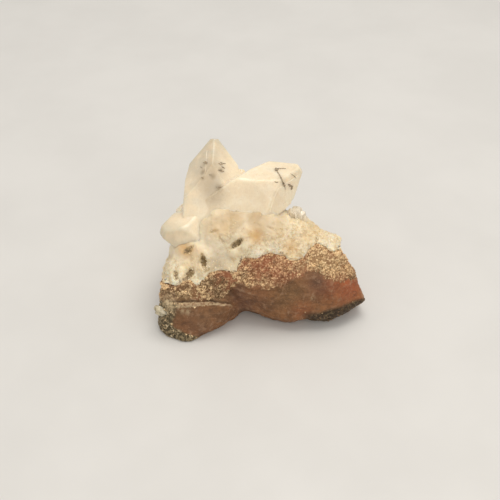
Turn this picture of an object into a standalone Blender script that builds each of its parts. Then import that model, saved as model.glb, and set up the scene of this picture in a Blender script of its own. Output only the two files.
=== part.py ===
"""Apophyllite cluster on its matrix.

A broken wedge of brown rock stands on a flat spot. A cream drusy crust covers its top and
upper front, and clear to milky apophyllite crystals grow out of the crust: two large points,
a side group and a few small ones. Sizes are in millimetres here, and the scene is in metres.

The front of the specimen leans back, and most pieces are placed in its face frame, whose three
coordinates are across (to the right), up (along the face) and out (square to the face).
"""

import math
from typing import NamedTuple

import bmesh
import bpy
import numpy as np
from mathutils import Matrix, Vector, noise

MM = 0.001
COLLECTION = "apophyllite_cluster"

# The face of the specimen leans back from the vertical, about a point above the table.
FACE_LEAN = math.radians(40)
FACE_HEIGHT = 17.0

# Clearance between solids that touch.
GAP = 0.3

# Apophyllite is tetragonal: the ratio of its cell sides sets the slopes of the pyramid.
CELL_RATIO = 1.756
PYRAMID_FACE_SLOPE = math.atan(1 / CELL_RATIO)
PYRAMID_EDGE_SLOPE = math.atan(math.sqrt(2) / CELL_RATIO)
SIDE_TAPER = math.radians(10)

# Fineness of the rock and of the crust.
VOXEL = 0.8
LUMP_TRIANGLES = 5200
SEAM_CELL = 2.0

# How far chips roughen the rock, and how far rounded lumps of two sizes stand out of the crust.
CHIP_HEIGHT = 0.7
LUMP_SPACING = 5.5
LUMP_HEIGHT = 1.1
SMALL_LUMP_SPACING = 2.8
SMALL_LUMP_HEIGHT = 0.5

# Corners of the blocks that the rock and crust are broken from: x, y and height above the table.
LEFT_LOBE = (
    (-28.2, -17.8, -1), (-25.0, -21.5, -1), (-18.6, -23.3, -1), (-13.6, -19.4, -1),
    (-28.6, -13.5, 2.5), (-26.5, -18.6, 9.5), (-25.2, -18.8, 11.6), (-16.0, -18.9, 11.4),
    (-6.6, -17.6, 9.9), (-6.4, -16.4, 3.0), (-3.0, -15.2, 6.0), (-2.0, -8.0, -1), (-27.0, 2.0, -1),
    (-27.5, -2.0, 12.0), (-4.0, -6.0, 14.0),
)
MAIN_BLOCK = (
    (0.4, -15.6, 5.6), (7.6, -17.6, 4.8), (15.2, -18.3, 4.6), (21.4, -18.1, 4.6),
    (26.6, -16.9, 4.6), (31.4, -14.0, 5.2), (36.2, -10.6, 5.6),
    (1.0, -9.5, -1), (12.0, -13.0, -1), (24.0, -12.4, -1), (31.0, -8.0, -1), (33.4, -2.0, -1),
    (29.0, 9.0, -1), (20.0, 17.0, -1), (2.0, 20.5, -1), (-20.0, 18.5, -1), (-24.0, 4.0, -1),
    (-7.4, -14.4, 17.2), (0.0, -15.6, 18.2), (6.0, -15.9, 18.6), (15.0, -15.0, 19.6), (24.0, -13.4, 18.6),
    (-4.0, -10.4, 23.4), (6.0, -9.8, 24.0), (15.0, -9.8, 23.8), (25.4, -8.6, 23.6), (27.4, -7.4, 24.0),
    (26.4, 2.5, 15.4), (25.6, 10.0, 8.0),
    (-14.0, 15.0, 20.0), (2.0, 17.0, 20.0), (15.0, 14.0, 15.0),
    (-16.0, 2.0, 31.0), (4.0, 4.0, 32.0), (14.0, -1.0, 28.0),
)
LEFT_SHOULDER = (
    (-27.6, -15.4, 12.6), (-25.4, -17.3, 12.4), (-15.0, -17.2, 12.2), (-7.2, -15.8, 11.4),
    (-28.2, -8.0, 8.0), (-26.2, -7.4, 18.0), (-22.4, -7.4, 22.6), (-14.0, -9.8, 24.4), (-7.0, -10.6, 23.4),
    (-20.5, 0.0, 27.0), (-12.0, 0.0, 30.0), (-24.0, 8.0, 15.0), (-21.0, 13.0, 11.0),
    (-28.0, -6.0, -1.0), (-26.6, 5.0, -1.0), (-4.0, 4.0, 8.0),
)
BLOCKS = (LEFT_LOBE, MAIN_BLOCK, LEFT_SHOULDER)

# Swellings of the crust, in the face frame: centre, then radius across, up and out.
SWELLINGS = (
    ((-1.0, 4.0, 4.0), (16.5, 10.2, 10.8)),
    ((11.6, 5.0, 2.4), (8.4, 6.6, 9.0)),
    ((17.0, 4.6, 3.6), (4.6, 3.9, 5.2)),
    ((23.2, 1.6, 3.6), (4.9, 4.0, 6.4)),
    ((-12.5, 8.0, -4.5), (11.6, 9.6, 9.6)),
    ((0.0, 7.0, -5.0), (9.0, 8.0, 8.0)),
    ((-13.5, -1.0, 3.4), (8.5, 7.0, 9.4)),
    ((-20.8, -8.2, 4.6), (5.6, 5.0, 7.6)),
    ((-17.0, 3.4, 1.5), (6.2, 5.4, 9.0)),
    ((-2.6, 5.2, 9.2), (13.4, 8.6, 6.0)),
)

# Pits in the crust, in the face frame: across and up, then radius and depth.
PITS = (
    (-18.6, 1.0, 1.5, 1.3), (-3.6, 2.1, 1.5, 1.4), (-14.2, -3.7, 1.1, 1.5), (-18.0, -6.6, 1.3, 1.3),
    (-22.4, -7.2, 1.0, 1.0), (3.2, 4.6, 2.2, 0.6), (-8.6, 7.6, 1.2, 0.7),
)

# The lower edge of the crust on the front, in the face frame: across and up.
SEAM = (
    (-32.0, -11.5), (-22.2, -11.5), (-21.2, -9.2), (-18.0, -9.4), (-16.6, -11.7), (-15.0, -10.8),
    (-12.0, -7.2), (-4.0, -6.7), (-2.6, -2.0), (2.0, -2.4), (5.5, -0.8), (8.0, -1.7), (10.4, -1.8),
    (12.0, -3.0), (15.8, -3.4), (17.2, -0.8), (20.5, 1.3), (23.7, -1.0), (38.0, -1.0),
)
# From there the seam runs back through the lump, and rises by this share.
SEAM_FRONT = 12.0
SEAM_RISE = 0.38
SEAM_RIPPLE = 0.7


class Crystal(NamedTuple):
    """A tetragonal crystal: its tip and the direction of its axis are in the face frame.

    The half widths at the shoulder and of the prism below it are measured square to the prism's
    faces, cap is the half width of the flat tip, and turn is the angle about the axis in degrees.
    """

    tip: tuple
    axis: tuple
    shoulder: float
    prism: float
    cap: float
    length: float
    turn: float


UPRIGHT_POINT = Crystal((-10.9, 34.0, 5.0), (0.028, 0.996, 0.087), 7.4, 8.3, 0.9, 28, 0)
LEANING_POINT = Crystal((15.2, 24.9, 8.0), (0.841, 0.541, 0.16), 6.8, 7.9, 1.15, 27, 3)
CRYSTAL_GROUPS = {
    "intergrown_crystals": (
        UPRIGHT_POINT,
        LEANING_POINT,
        Crystal((-17.8, 16.6, 5.4), (-0.04, 0.99, 0.1), 4.7, 5.1, 0.2, 13, 8),
        Crystal((-14.6, 15.4, 9.2), (-0.3, 0.92, 0.25), 3.8, 4.1, 0.6, 13, 28),
        Crystal((-2.6, 24.8, 4.2), (0.05, 0.99, 0.1), 1.6, 1.8, 0.5, 12, 5),
        Crystal((-26.3, 5.4, 11.6), (-0.84, -0.05, 0.54), 5.5, 6.0, 1.5, 18, 6),
        Crystal((-21.8, 10.6, 8.6), (-0.3, 0.9, 0.3), 2.2, 2.6, 0.4, 9, 30),
    ),
    "small_clear_crystals": (
        Crystal((14.2, 13.3, 6.4), (0.1, 0.97, 0.2), 1.15, 1.25, 0.75, 5.6, 10),
        Crystal((16.3, 11.9, 6.0), (0.3, 0.93, 0.2), 1.0, 1.1, 0.6, 5.2, 35),
        Crystal((12.6, 12.6, 7.4), (-0.05, 0.95, 0.3), 0.9, 1.0, 0.5, 5.0, 60),
    ),
    "rim_crystals": (
        Crystal((-28.8, -17.2, 9.0), (-0.85, 0.4, 0.3), 0.8, 0.9, 0.4, 4.2, 15),
        Crystal((-28.6, -19.0, 8.4), (-0.9, -0.1, 0.3), 0.9, 1.0, 0.3, 4.0, 50),
    ),
    "back_pair": (
        Crystal((8.0, 13.5, -14.0), (0.3, 0.6, -0.74), 3.0, 3.3, 0.7, 10, 40),
        Crystal((3.0, 10.5, -15.6), (-0.2, 0.5, -0.84), 2.2, 2.4, 0.4, 8, 10),
    ),
}


def clear_scene():
    for obj in list(bpy.data.objects):
        bpy.data.objects.remove(obj)


def face_vector(across, up, out):
    """A direction of the face frame in world axes."""
    lean_sin, lean_cos = math.sin(FACE_LEAN), math.cos(FACE_LEAN)
    return Vector((across, up * lean_sin - out * lean_cos, up * lean_cos + out * lean_sin))


def face_point(across, up, out):
    """A point of the face frame in world millimetres."""
    return face_vector(across, up, out) + Vector((0, 0, FACE_HEIGHT))


def in_face_frame(point):
    """Across, up and out of a point in world millimetres."""
    seen = point - Vector((0, 0, FACE_HEIGHT))
    return seen.x, seen.dot(face_vector(0, 1, 0)), seen.dot(face_vector(0, 0, 1))


def scene_object(name, mesh, collection):
    obj = bpy.data.objects.new(name, mesh)
    collection.objects.link(obj)
    return obj


def mesh_object(name, bm, collection):
    """Takes a bmesh in millimetres and makes an object of it in metres."""
    bm.transform(Matrix.Scale(MM, 4))
    bmesh.ops.recalc_face_normals(bm, faces=bm.faces)
    mesh = bpy.data.meshes.new(name)
    bm.to_mesh(mesh)
    bm.free()
    return scene_object(name, mesh, collection)


def applied(obj):
    """Replaces the object's mesh by what its modifiers make of it."""
    graph = bpy.context.evaluated_depsgraph_get()
    mesh = bpy.data.meshes.new_from_object(obj.evaluated_get(graph))
    obj.modifiers.clear()
    obj.data = mesh
    return obj


def boolean(obj, other, operation):
    modifier = obj.modifiers.new(operation.lower(), "BOOLEAN")
    modifier.operation = operation
    modifier.object = other
    return applied(obj)


def keep_largest_piece(obj):
    """Drops the crumbs that a cut leaves beside the main body."""
    bm = bmesh.new()
    bm.from_mesh(obj.data)
    seen, pieces = set(), []
    for start in bm.verts:
        if start in seen:
            continue
        piece, queue = {start}, [start]
        while queue:
            for edge in queue.pop().link_edges:
                for vert in edge.verts:
                    if vert not in piece:
                        piece.add(vert)
                        queue.append(vert)
        seen |= piece
        pieces.append(piece)
    main = max(pieces, key=len)
    bmesh.ops.delete(bm, geom=[v for v in bm.verts if v not in main], context="VERTS")
    bm.to_mesh(obj.data)
    bm.free()


def cut_by_plane(bm, point, normal):
    """Cuts a convex body by a plane, keeps the side behind the normal and closes it."""
    geometry = bm.verts[:] + bm.edges[:] + bm.faces[:]
    bmesh.ops.bisect_plane(bm, geom=geometry, plane_co=point, plane_no=normal, clear_outer=True, dist=1e-5)
    rim = [edge for edge in bm.edges if edge.is_boundary]
    if rim:
        bmesh.ops.edgeloop_fill(bm, edges=rim)


def block(corners):
    """The convex block with these corners."""
    bm = bmesh.new()
    for corner in corners:
        bm.verts.new(corner)
    hull = bmesh.ops.convex_hull(bm, input=bm.verts[:])
    inside = [item for item in hull["geom_interior"] if isinstance(item, bmesh.types.BMVert)]
    bmesh.ops.delete(bm, geom=inside, context="VERTS")
    return bm


def swelling(centre, radii):
    """An ellipsoid set square to the face of the specimen."""
    bm = bmesh.new()
    bmesh.ops.create_icosphere(bm, subdivisions=3, radius=1)
    for vert in bm.verts:
        vert.co = face_point(*(c + r * x for c, r, x in zip(centre, radii, vert.co)))
    return bm


def lump_height(point, spacing):
    """Height of rounded lumps at a point, from 0 between them to 1 on their tops."""
    reach = 0.75
    distance = noise.voronoi(point / spacing)[0][0]
    return math.sqrt(max(0.0, 1 - (distance / reach) ** 2))


def pit_depth(across, up, out):
    """Depth of the pits at a point on the front of the crust."""
    if out < 0:
        return 0.0
    depth = 0.0
    for pit_across, pit_up, radius, full in PITS:
        away = (across - pit_across) ** 2 + (up - pit_up) ** 2
        depth += full * math.exp(-away / radius ** 2)
    return depth


def seam_up(across, out):
    """How far up the seam between rock and crust lies, in the face frame."""
    front = float(np.interp(across, *zip(*SEAM)))
    ripple = SEAM_RIPPLE * noise.noise(Vector((across, out, 7.0)) / 6)
    return front + SEAM_RISE * (SEAM_FRONT - out) + ripple


def roughen(bm):
    """Gives rock its chipped surface and the crust its lumps and pits, along the normals."""
    bm.normal_update()
    moves = {}
    for vert in bm.verts:
        p = vert.co
        chips = CHIP_HEIGHT * (noise.noise(p / 10) + 0.4 * noise.noise(p / 4.5) + 0.15 * noise.noise(p / 2))
        lumps = LUMP_HEIGHT * lump_height(p, LUMP_SPACING)
        lumps += SMALL_LUMP_HEIGHT * lump_height(p + Vector((8, 8, 8)), SMALL_LUMP_SPACING)
        lumps -= 0.55 * (LUMP_HEIGHT + SMALL_LUMP_HEIGHT)
        across, up, out = in_face_frame(p)
        share = min(1.0, max(0.0, (up - seam_up(across, out)) / 1.5 + 0.5))
        moves[vert] = vert.normal * (chips * (1 - share) + (lumps - pit_depth(across, up, out)) * share)
    for vert, move in moves.items():
        vert.co += move


def weathered_lump(collection):
    """Rock and crust as one body: blocks and swellings fused, roughened and cut flat below."""
    whole = bmesh.new()
    bodies = [block(corners) for corners in BLOCKS]
    bodies += [swelling(centre, radii) for centre, radii in SWELLINGS]
    for body in bodies:
        part = bpy.data.meshes.new("part")
        body.to_mesh(part)
        body.free()
        whole.from_mesh(part)
        bpy.data.meshes.remove(part)
    bmesh.ops.recalc_face_normals(whole, faces=whole.faces)
    obj = mesh_object("lump", whole, collection)
    remesh = obj.modifiers.new("fuse", "REMESH")
    remesh.mode = "VOXEL"
    remesh.voxel_size = VOXEL * MM
    applied(obj)
    bm = bmesh.new()
    bm.from_mesh(obj.data)
    bm.transform(Matrix.Scale(1 / MM, 4))
    bmesh.ops.smooth_vert(bm, verts=bm.verts, factor=0.5, use_axis_x=True, use_axis_y=True, use_axis_z=True)
    roughen(bm)
    bm.transform(Matrix.Scale(MM, 4))
    bm.to_mesh(obj.data)
    bm.free()
    thin = obj.modifiers.new("coarsen", "DECIMATE")
    thin.ratio = LUMP_TRIANGLES / (2 * len(obj.data.polygons))
    thin.use_collapse_triangulate = True
    applied(obj)
    bm = bmesh.new()
    bm.from_mesh(obj.data)
    cut_by_plane(bm, (0, 0, 0), (0, 0, -1))
    bmesh.ops.recalc_face_normals(bm, faces=bm.faces)
    bm.to_mesh(obj.data)
    bm.free()
    return obj


def seam_cutter(name, lift, collection):
    """A thick slab in the face frame whose top is the seam, lifted by some amount."""
    reach, depth = 42, 60
    cells = round(2 * reach / SEAM_CELL)
    bm = bmesh.new()
    bmesh.ops.create_grid(bm, x_segments=cells, y_segments=cells, size=reach)
    for vert in bm.verts:
        vert.co.z = seam_up(vert.co.x, -vert.co.y) + lift
    under = bmesh.ops.extrude_face_region(bm, geom=bm.faces[:])
    for item in under["geom"]:
        if isinstance(item, bmesh.types.BMVert):
            item.co.z = -depth
    for vert in bm.verts:
        vert.co = face_point(vert.co.x, vert.co.z, -vert.co.y)
    obj = mesh_object(name, bm, collection)
    obj.hide_render = True
    obj.display_type = "WIRE"
    return obj


def crystal_body(crystal, grow=0.0):
    """Cuts a crystal from a cube: four pyramid faces, four tapering sides and the prism.

    grow moves each face outwards by that much, for the socket that the crystal sits in.
    """
    bm = bmesh.new()
    bmesh.ops.create_cube(bm, size=4 * (crystal.length + crystal.prism))
    cut_by_plane(bm, (0, 0, grow), (0, 0, 1))
    cut_by_plane(bm, (0, 0, -crystal.length - grow), (0, 0, -1))
    cap_corner = crystal.cap * math.sqrt(2)
    shoulder_depth = (crystal.shoulder - cap_corner) / math.tan(PYRAMID_EDGE_SLOPE)
    for quarter in range(4):
        angle = quarter * math.pi / 2
        side = Vector((math.cos(angle), math.sin(angle), 0))
        corner = Vector((math.cos(angle + math.pi / 4), math.sin(angle + math.pi / 4), 0))
        pyramid = side * math.cos(PYRAMID_FACE_SLOPE) + Vector((0, 0, math.sin(PYRAMID_FACE_SLOPE)))
        taper = corner * math.cos(SIDE_TAPER) + Vector((0, 0, math.sin(SIDE_TAPER)))
        shoulder = corner * crystal.shoulder - Vector((0, 0, shoulder_depth))
        cut_by_plane(bm, side * crystal.cap + pyramid * grow, pyramid)
        cut_by_plane(bm, shoulder + taper * grow, taper)
        cut_by_plane(bm, corner * (crystal.prism + grow), corner)
    axis = face_vector(*crystal.axis).normalized()
    facing = face_vector(0, 0, 1)
    facing = (facing - axis * facing.dot(axis)).normalized()
    stand = Matrix((facing, axis.cross(facing), axis)).transposed()
    turn = Matrix.Rotation(math.radians(crystal.turn + 45), 3, "Z")
    bm.transform((stand @ turn).to_4x4())
    bmesh.ops.translate(bm, verts=bm.verts, vec=face_point(*crystal.tip))
    return bm


def crystal_group(name, members, collection, grow=0.0):
    """Crystals that grow into each other, joined in one solid."""
    made = [mesh_object(name, crystal_body(member, grow), collection) for member in members]
    group = made[0]
    for other in made[1:]:
        boolean(group, other, "UNION")
        bpy.data.objects.remove(other)
    group.name = group.data.name = name
    return group


def surface(name, colour, roughness, transmission=0.0):
    """A plain material with one Principled shader."""
    material = bpy.data.materials.new(name)
    material.use_nodes = True
    shader = material.node_tree.nodes["Principled BSDF"]
    shader.inputs["Base Color"].default_value = (*colour, 1)
    shader.inputs["Roughness"].default_value = roughness
    shader.inputs["Metallic"].default_value = 0
    shader.inputs["Transmission Weight"].default_value = transmission
    return material


def rock_material():
    return surface("brown_rock", (0.20, 0.09, 0.045), 0.75)


def crust_material():
    return surface("cream_druse", (0.74, 0.57, 0.34), 0.55)


def crystal_material():
    return surface("apophyllite", (0.80, 0.68, 0.48), 0.12, transmission=0.5)


def paint(obj, material):
    obj.data.materials.clear()
    obj.data.materials.append(material)


def centre_on_base(objects):
    """Moves the meshes so that the middle of the cluster stands over the origin."""
    points = np.array([v.co for obj in objects for v in obj.data.vertices])
    middle = (points.min(axis=0) + points.max(axis=0)) / 2
    shift = Matrix.Translation((-middle[0], -middle[1], -points.min(axis=0)[2]))
    for obj in objects:
        obj.data.transform(shift)


def rock_and_crust(parts, cutters):
    """The lump parted along its seam, with a gap between the two."""
    rock = weathered_lump(parts)
    rock.name = "matrix_rock"
    crust = scene_object("drusy_crust", rock.data.copy(), parts)
    below = seam_cutter("seam_below", 0, cutters)
    above = seam_cutter("seam_above", 1.3 * GAP, cutters)
    boolean(rock, below, "INTERSECT")
    boolean(crust, above, "DIFFERENCE")
    for cutter in (below, above):
        bpy.data.objects.remove(cutter)
    return rock, crust


def build():
    clear_scene()
    parts = bpy.data.collections.new(COLLECTION)
    cutters = bpy.data.collections.new("cutters")
    for collection in (parts, cutters):
        bpy.context.scene.collection.children.link(collection)
    rock, crust = rock_and_crust(parts, cutters)
    crystals = []
    for name, members in CRYSTAL_GROUPS.items():
        crystals.append(crystal_group(name, members, parts))
        socket = crystal_group(name + "_socket", members, cutters, grow=GAP)
        boolean(rock, socket, "DIFFERENCE")
        boolean(crust, socket, "DIFFERENCE")
        bpy.data.objects.remove(socket)
    keep_largest_piece(rock)
    keep_largest_piece(crust)

    paint(rock, rock_material())
    paint(crust, crust_material())
    clear = crystal_material()
    for group in crystals:
        paint(group, clear)
    centre_on_base([rock, crust, *crystals])


build()
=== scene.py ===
"""Dresses the apophyllite cluster: fine rock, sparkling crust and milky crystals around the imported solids.

Sizes are in millimetres here and turned to metres where a mesh is made. Places on the specimen
are given in its face frame, as across (to the right), up (along the face, which leans back) and
out (square to the face).
"""

import math
from typing import NamedTuple

import bmesh
import bpy
import numpy as np
from mathutils import Matrix, Vector, noise
from mathutils.bvhtree import BVHTree


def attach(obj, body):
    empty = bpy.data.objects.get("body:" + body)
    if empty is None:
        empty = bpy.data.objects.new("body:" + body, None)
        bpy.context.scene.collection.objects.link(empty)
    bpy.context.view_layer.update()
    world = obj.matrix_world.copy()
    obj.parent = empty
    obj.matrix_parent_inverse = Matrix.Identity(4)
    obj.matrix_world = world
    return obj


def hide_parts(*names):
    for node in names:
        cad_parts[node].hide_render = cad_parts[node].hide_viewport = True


bl_info = {
    "name": "Apophyllite Cluster Dresser",
    "version": (1, 0, 0),
    "blender": (4, 5, 0),
    "location": "View3D > Sidebar > Cluster",
    "description": "Builds the fine rock, crust, druse and crystals of an apophyllite cluster",
    "category": "Object",
}

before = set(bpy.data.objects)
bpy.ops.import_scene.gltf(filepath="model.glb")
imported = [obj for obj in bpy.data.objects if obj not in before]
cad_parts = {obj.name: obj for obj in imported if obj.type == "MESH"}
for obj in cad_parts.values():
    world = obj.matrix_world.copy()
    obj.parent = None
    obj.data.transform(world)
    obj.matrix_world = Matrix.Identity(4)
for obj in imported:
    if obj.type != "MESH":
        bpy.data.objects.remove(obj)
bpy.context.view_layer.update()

MM = 0.001
FACE_LEAN = math.radians(40)
FACE_ORIGIN = Vector((-3.41, 1.51, 17.0))

# Apophyllite is tetragonal: the ratio of its cell sides sets the slopes of the pyramid.
CELL_RATIO = 1.756
PYRAMID_FACE_SLOPE = math.atan(1 / CELL_RATIO)
PYRAMID_EDGE_SLOPE = math.atan(math.sqrt(2) / CELL_RATIO)
SIDE_TAPER = math.radians(10)
HAIRLINE = 0.05
REFRACTIVE_INDEX = 1.535

# Spacing in millimetres of the slow and the fine unevenness of the borders.
SLOW = 2.5
FINE = 0.9

# The floor lies this far below the part and reaches this far from it, in metres.
FLOOR_GAP = 0.0002
FLOOR_REACH = 1.5

# Cracks: the length of a step along them and how far a sliver stands out and in, in millimetres.
CRACK_STEP = 0.16
CRACK_LIFTS = (0.03, -0.12)

# Outlines on the front, in the face frame: across and up.
CRUST_EDGE = (
    (-32.0, -11.5), (-22.2, -11.5), (-21.2, -9.2), (-18.0, -9.4), (-16.6, -11.7), (-15.0, -10.8),
    (-12.0, -7.2), (-4.0, -6.7), (-2.6, -2.0), (2.0, -2.4), (5.5, -0.8), (8.0, -1.7), (10.4, -1.8),
    (12.0, -3.0), (15.8, -3.4), (17.2, -0.8), (20.5, 1.3), (23.7, -1.0), (38.0, -1.0),
)
BROWN_DRUSE_EDGE = (
    (-32.0, -15.0), (-7.6, -14.6), (-6.6, -12.6), (-4.5, -10.1), (-2.7, -9.8), (0.0, -10.8), (4.9, -11.8),
    (9.8, -10.6), (11.9, -9.3), (15.2, -7.9), (18.7, -5.9), (22.2, -8.1), (24.7, -9.3), (38.0, -8.3),
)

# Where the rough left rim ends, as across at each height up.
RIM_EDGE = (
    (-26.2, -15.7), (-25.4, -18.7), (-23.2, -23.4), (-21.0, -23.2), (-18.7, -22.5), (-16.5, -21.5),
    (-15.0, -24.5), (-12.0, -25.5),
)

# The pale vein: across, up and half its width.
VEIN = (
    (-23.6, -16.6, 0.8), (-19.4, -16.4, 0.6), (-14.9, -16.2, 0.5), (-11.9, -16.1, 0.42),
    (-8.3, -16.4, 0.25), (-5.7, -16.6, 0.12),
)

# Patches of the crust: across, up, radius and strength.
YELLOW_PATCHES = (
    (1.8, 4.2, 2.4, 0.9), (0.8, 1.8, 1.6, 0.2), (12.5, 0.9, 3.2, 0.6), (8.0, 4.5, 2.4, 0.2),
    (-8.0, 6.5, 2.6, 0.3), (-20.2, 1.0, 2.2, 0.7), (17.0, 3.6, 2.2, 0.3), (20.0, 6.0, 2.0, 0.3),
    (-15.5, -0.5, 1.8, 0.3),
)
ORANGE_PATCHES = (
    (-18.5, -0.4, 2.0, 0.9), (-17.6, -2.4, 1.4, 0.4), (2.6, 3.2, 1.2, 0.12), (-24.0, -2.2, 1.0, 0.3),
)
PALE_PATCHES = (
    (11.0, 7.0, 2.6, 0.5), (-9.0, -1.0, 5.5, 0.8), (2.0, -0.2, 3.4, 1.0), (7.5, 0.2, 3.4, 0.9),
    (-3.0, 4.4, 2.4, 0.6), (9.5, 2.0, 3.0, 0.7), (16.0, -1.2, 3.2, 0.8), (-22.5, -9.5, 3.4, 1.0),
    (12.5, 4.8, 3.0, 0.8), (-0.5, 1.2, 2.2, 0.8), (-24.0, -4.0, 3.5, 0.7), (-14.8, -8.5, 2.6, 0.9),
    (24.0, 3.0, 3.5, 0.7), (-12.0, 4.0, 3.0, 0.6), (-24.8, -7.5, 2.0, 1.0),
)
GREY_PATCHES = (
    (-10.0, -4.0, 3.6, 1.0), (-6.0, -4.0, 2.6, 0.5), (-2.0, 10.0, 4.0, 0.3), (5.0, 10.0, 3.5, 0.25),
)
ARCH_PATCHES = (
    (-11.0, 7.5, 3.5, 0.7), (-5.0, 10.0, 4.5, 1.0), (2.0, 10.0, 4.5, 1.0), (8.0, 8.0, 3.5, 0.55),
)
QUIET_PATCHES = (
    (-9.0, -3.6, 4.6, 0.9), (-8.0, 9.0, 4.5, 1.0), (-2.0, 10.0, 5.0, 1.0), (4.0, 9.0, 4.5, 1.0),
    (9.0, 8.0, 3.5, 0.7),
)

# Patches of the rock: across, up, radius and strength.
WEDGE_PATCHES = (
    (-15.5, -22.5, 6.0, 0.5), (-4.0, -13.5, 3.8, 0.9), (-2.0, -16.5, 3.4, 0.7), (20.0, -9.6, 4.0, 0.85),
    (2.5, -15.5, 3.4, 0.4),
)
RED_PATCHES = (
    (30.5, -10.5, 6.0, 1.0), (25.0, -9.5, 5.0, 0.8), (2.0, -4.5, 6.0, 0.45), (9.0, -5.0, 5.0, 0.4),
    (15.5, -18.0, 3.0, 0.5),
)
WARM_PATCHES = (
    (2.0, -4.8, 4.5, 0.9), (8.5, -6.5, 5.0, 0.9), (14.5, -7.0, 3.5, 0.5), (28.0, -8.0, 3.0, 0.5),
)
OLIVE_PATCHES = (
    (-1.6, -7.4, 2.6, 0.9), (-14.0, -10.0, 5.0, 0.9), (-10.0, -13.0, 4.0, 0.9), (-20.0, -13.5, 5.0, 0.9),
    (11.5, -13.0, 5.0, 0.6), (-24.5, -13.0, 4.0, 0.9), (21.0, -4.0, 5.0, 0.5), (-14.0, -20.0, 4.0, 0.4),
)
TAN_PATCHES = (
    (20.5, -2.2, 4.6, 1.0), (25.5, -4.6, 4.4, 1.0), (29.0, -6.0, 3.0, 0.8), (-1.0, -9.2, 3.0, 0.6),
    (5.0, -10.4, 3.0, 0.6), (10.0, -4.0, 3.0, 0.4), (-18.5, -13.5, 2.6, 0.6), (15.5, -4.6, 2.5, 0.6),
)
WHITE_PATCHES = (
    (-24.4, -15.6, 1.9, 1.0), (-24.2, -17.4, 1.4, 1.0), (-18.5, -18.4, 0.9, 0.6),
    (-20.2, -18.2, 0.8, 0.6), (18.9, -14.4, 0.7, 0.55),
)

# Places where the surface stands back from the solids: across, up, radius and depth in millimetres.
DENTS = (
    (25.5, 4.2, 2.6, 0.8), (20.6, 6.2, 1.4, 0.4), (29.0, 1.5, 3.0, 0.5), (-28.0, -7.5, 3.5, 0.9),
    (-25.0, -1.2, 2.0, 0.9), (-28.8, -11.5, 3.0, 1.3),
)

# Pits in the crust: across, up, half length, half width, turn in degrees and strength.
PITS = (
    (-4.0, 1.9, 2.2, 0.8, 35, 1.0), (-13.8, -3.4, 2.2, 0.75, 100, 1.0), (-18.0, -7.2, 1.9, 1.0, 62, 1.0),
    (-22.2, -7.6, 1.4, 0.7, 100, 0.75), (-19.4, -8.6, 0.9, 0.6, 20, 0.6), (-10.6, 5.6, 1.6, 0.6, 15, 0.3),
    (-18.3, 0.0, 1.7, 0.8, 40, 0.8), (-12.8, -6.0, 1.0, 0.5, 40, 0.5), (20.0, 3.0, 2.6, 0.5, 75, 0.32),
    (6.5, 6.4, 2.2, 0.5, 160, 0.25), (-8.5, 3.2, 1.8, 0.5, 120, 0.25),
)

# Druse grains: the smallest and the largest in millimetres, and the height of a point to its size.
BROWN_GRAIN_SIZES = (0.20, 0.70)
BROWN_GRAIN_POINT = 0.42
CRUST_GRAIN_SIZES = (0.18, 0.62)
CRUST_GRAIN_POINT = 0.32

# Seeds of the random draws, so that every run gives the same result.
NOISE_SEED = 1
SEEDS = {
    "brown_druse": 5, "cream_grains": 8, "cleavage_cracks": 31, "crystal_points": 12, "clear_sprays": 3,
    "rim_sprays": 4, "back_points": 6,
}


def face_vector(across, up, out):
    """A direction of the face frame in the row's axes."""
    lean_sin, lean_cos = math.sin(FACE_LEAN), math.cos(FACE_LEAN)
    return Vector((across, up * lean_sin - out * lean_cos, up * lean_cos + out * lean_sin))


def face_point(across, up, out):
    """A point of the face frame, in the row's millimetres."""
    return face_vector(across, up, out) + FACE_ORIGIN


def in_face_frame(points):
    """Across, up and out of an array of points in the row's millimetres."""
    seen = points - np.array(FACE_ORIGIN)
    up, out = np.array(face_vector(0, 1, 0)), np.array(face_vector(0, 0, 1))
    return seen[:, 0], seen @ up, seen @ out


def smooth_step(low, high, values):
    share = np.clip((values - low) / (high - low), 0, 1)
    return share * share * (3 - 2 * share)


def patches(places, across, up):
    """How strongly each point lies in one of some round patches."""
    total = np.zeros_like(across)
    for patch_across, patch_up, radius, strength in places:
        away = (across - patch_across) ** 2 + (up - patch_up) ** 2
        total = np.maximum(total, strength * np.exp(-away / radius ** 2))
    return total


def dents(across, up, out):
    """How far the front stands back from the solids at each point, in millimetres."""
    return patches(DENTS, across, up) * smooth_step(-12, -5, out)


def pits(places, across, up):
    """How deep each point lies in one of some long pits, from 0 to 1."""
    total = np.zeros_like(across)
    for pit_across, pit_up, half_length, half_width, turn, strength in places:
        turn = math.radians(turn)
        right, rise = across - pit_across, up - pit_up
        along = (right * math.cos(turn) + rise * math.sin(turn)) / half_length
        over = (rise * math.cos(turn) - right * math.sin(turn)) / half_width
        total = np.maximum(total, strength * np.exp(-((along ** 2 + over ** 2) ** 1.5)))
    return total


class ClusterSizes(bpy.types.PropertyGroup):
    rock_voxel: bpy.props.FloatProperty(
        name="Rock fineness", description="Voxel size of the rock's surface in millimetres", default=0.34
    )
    crust_voxel: bpy.props.FloatProperty(
        name="Crust fineness", description="Voxel size of the crust's surface in millimetres", default=0.30
    )
    web_voxel: bpy.props.FloatProperty(
        name="Web fineness", description="Voxel size of the milky web in millimetres", default=0.45
    )
    crust_grains: bpy.props.IntProperty(
        name="Crust grains", description="How many small crystals cover the crust", default=23000
    )
    brown_grains: bpy.props.IntProperty(
        name="Brown grains", description="How many small crystals cover the upper rock", default=24000
    )


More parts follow.
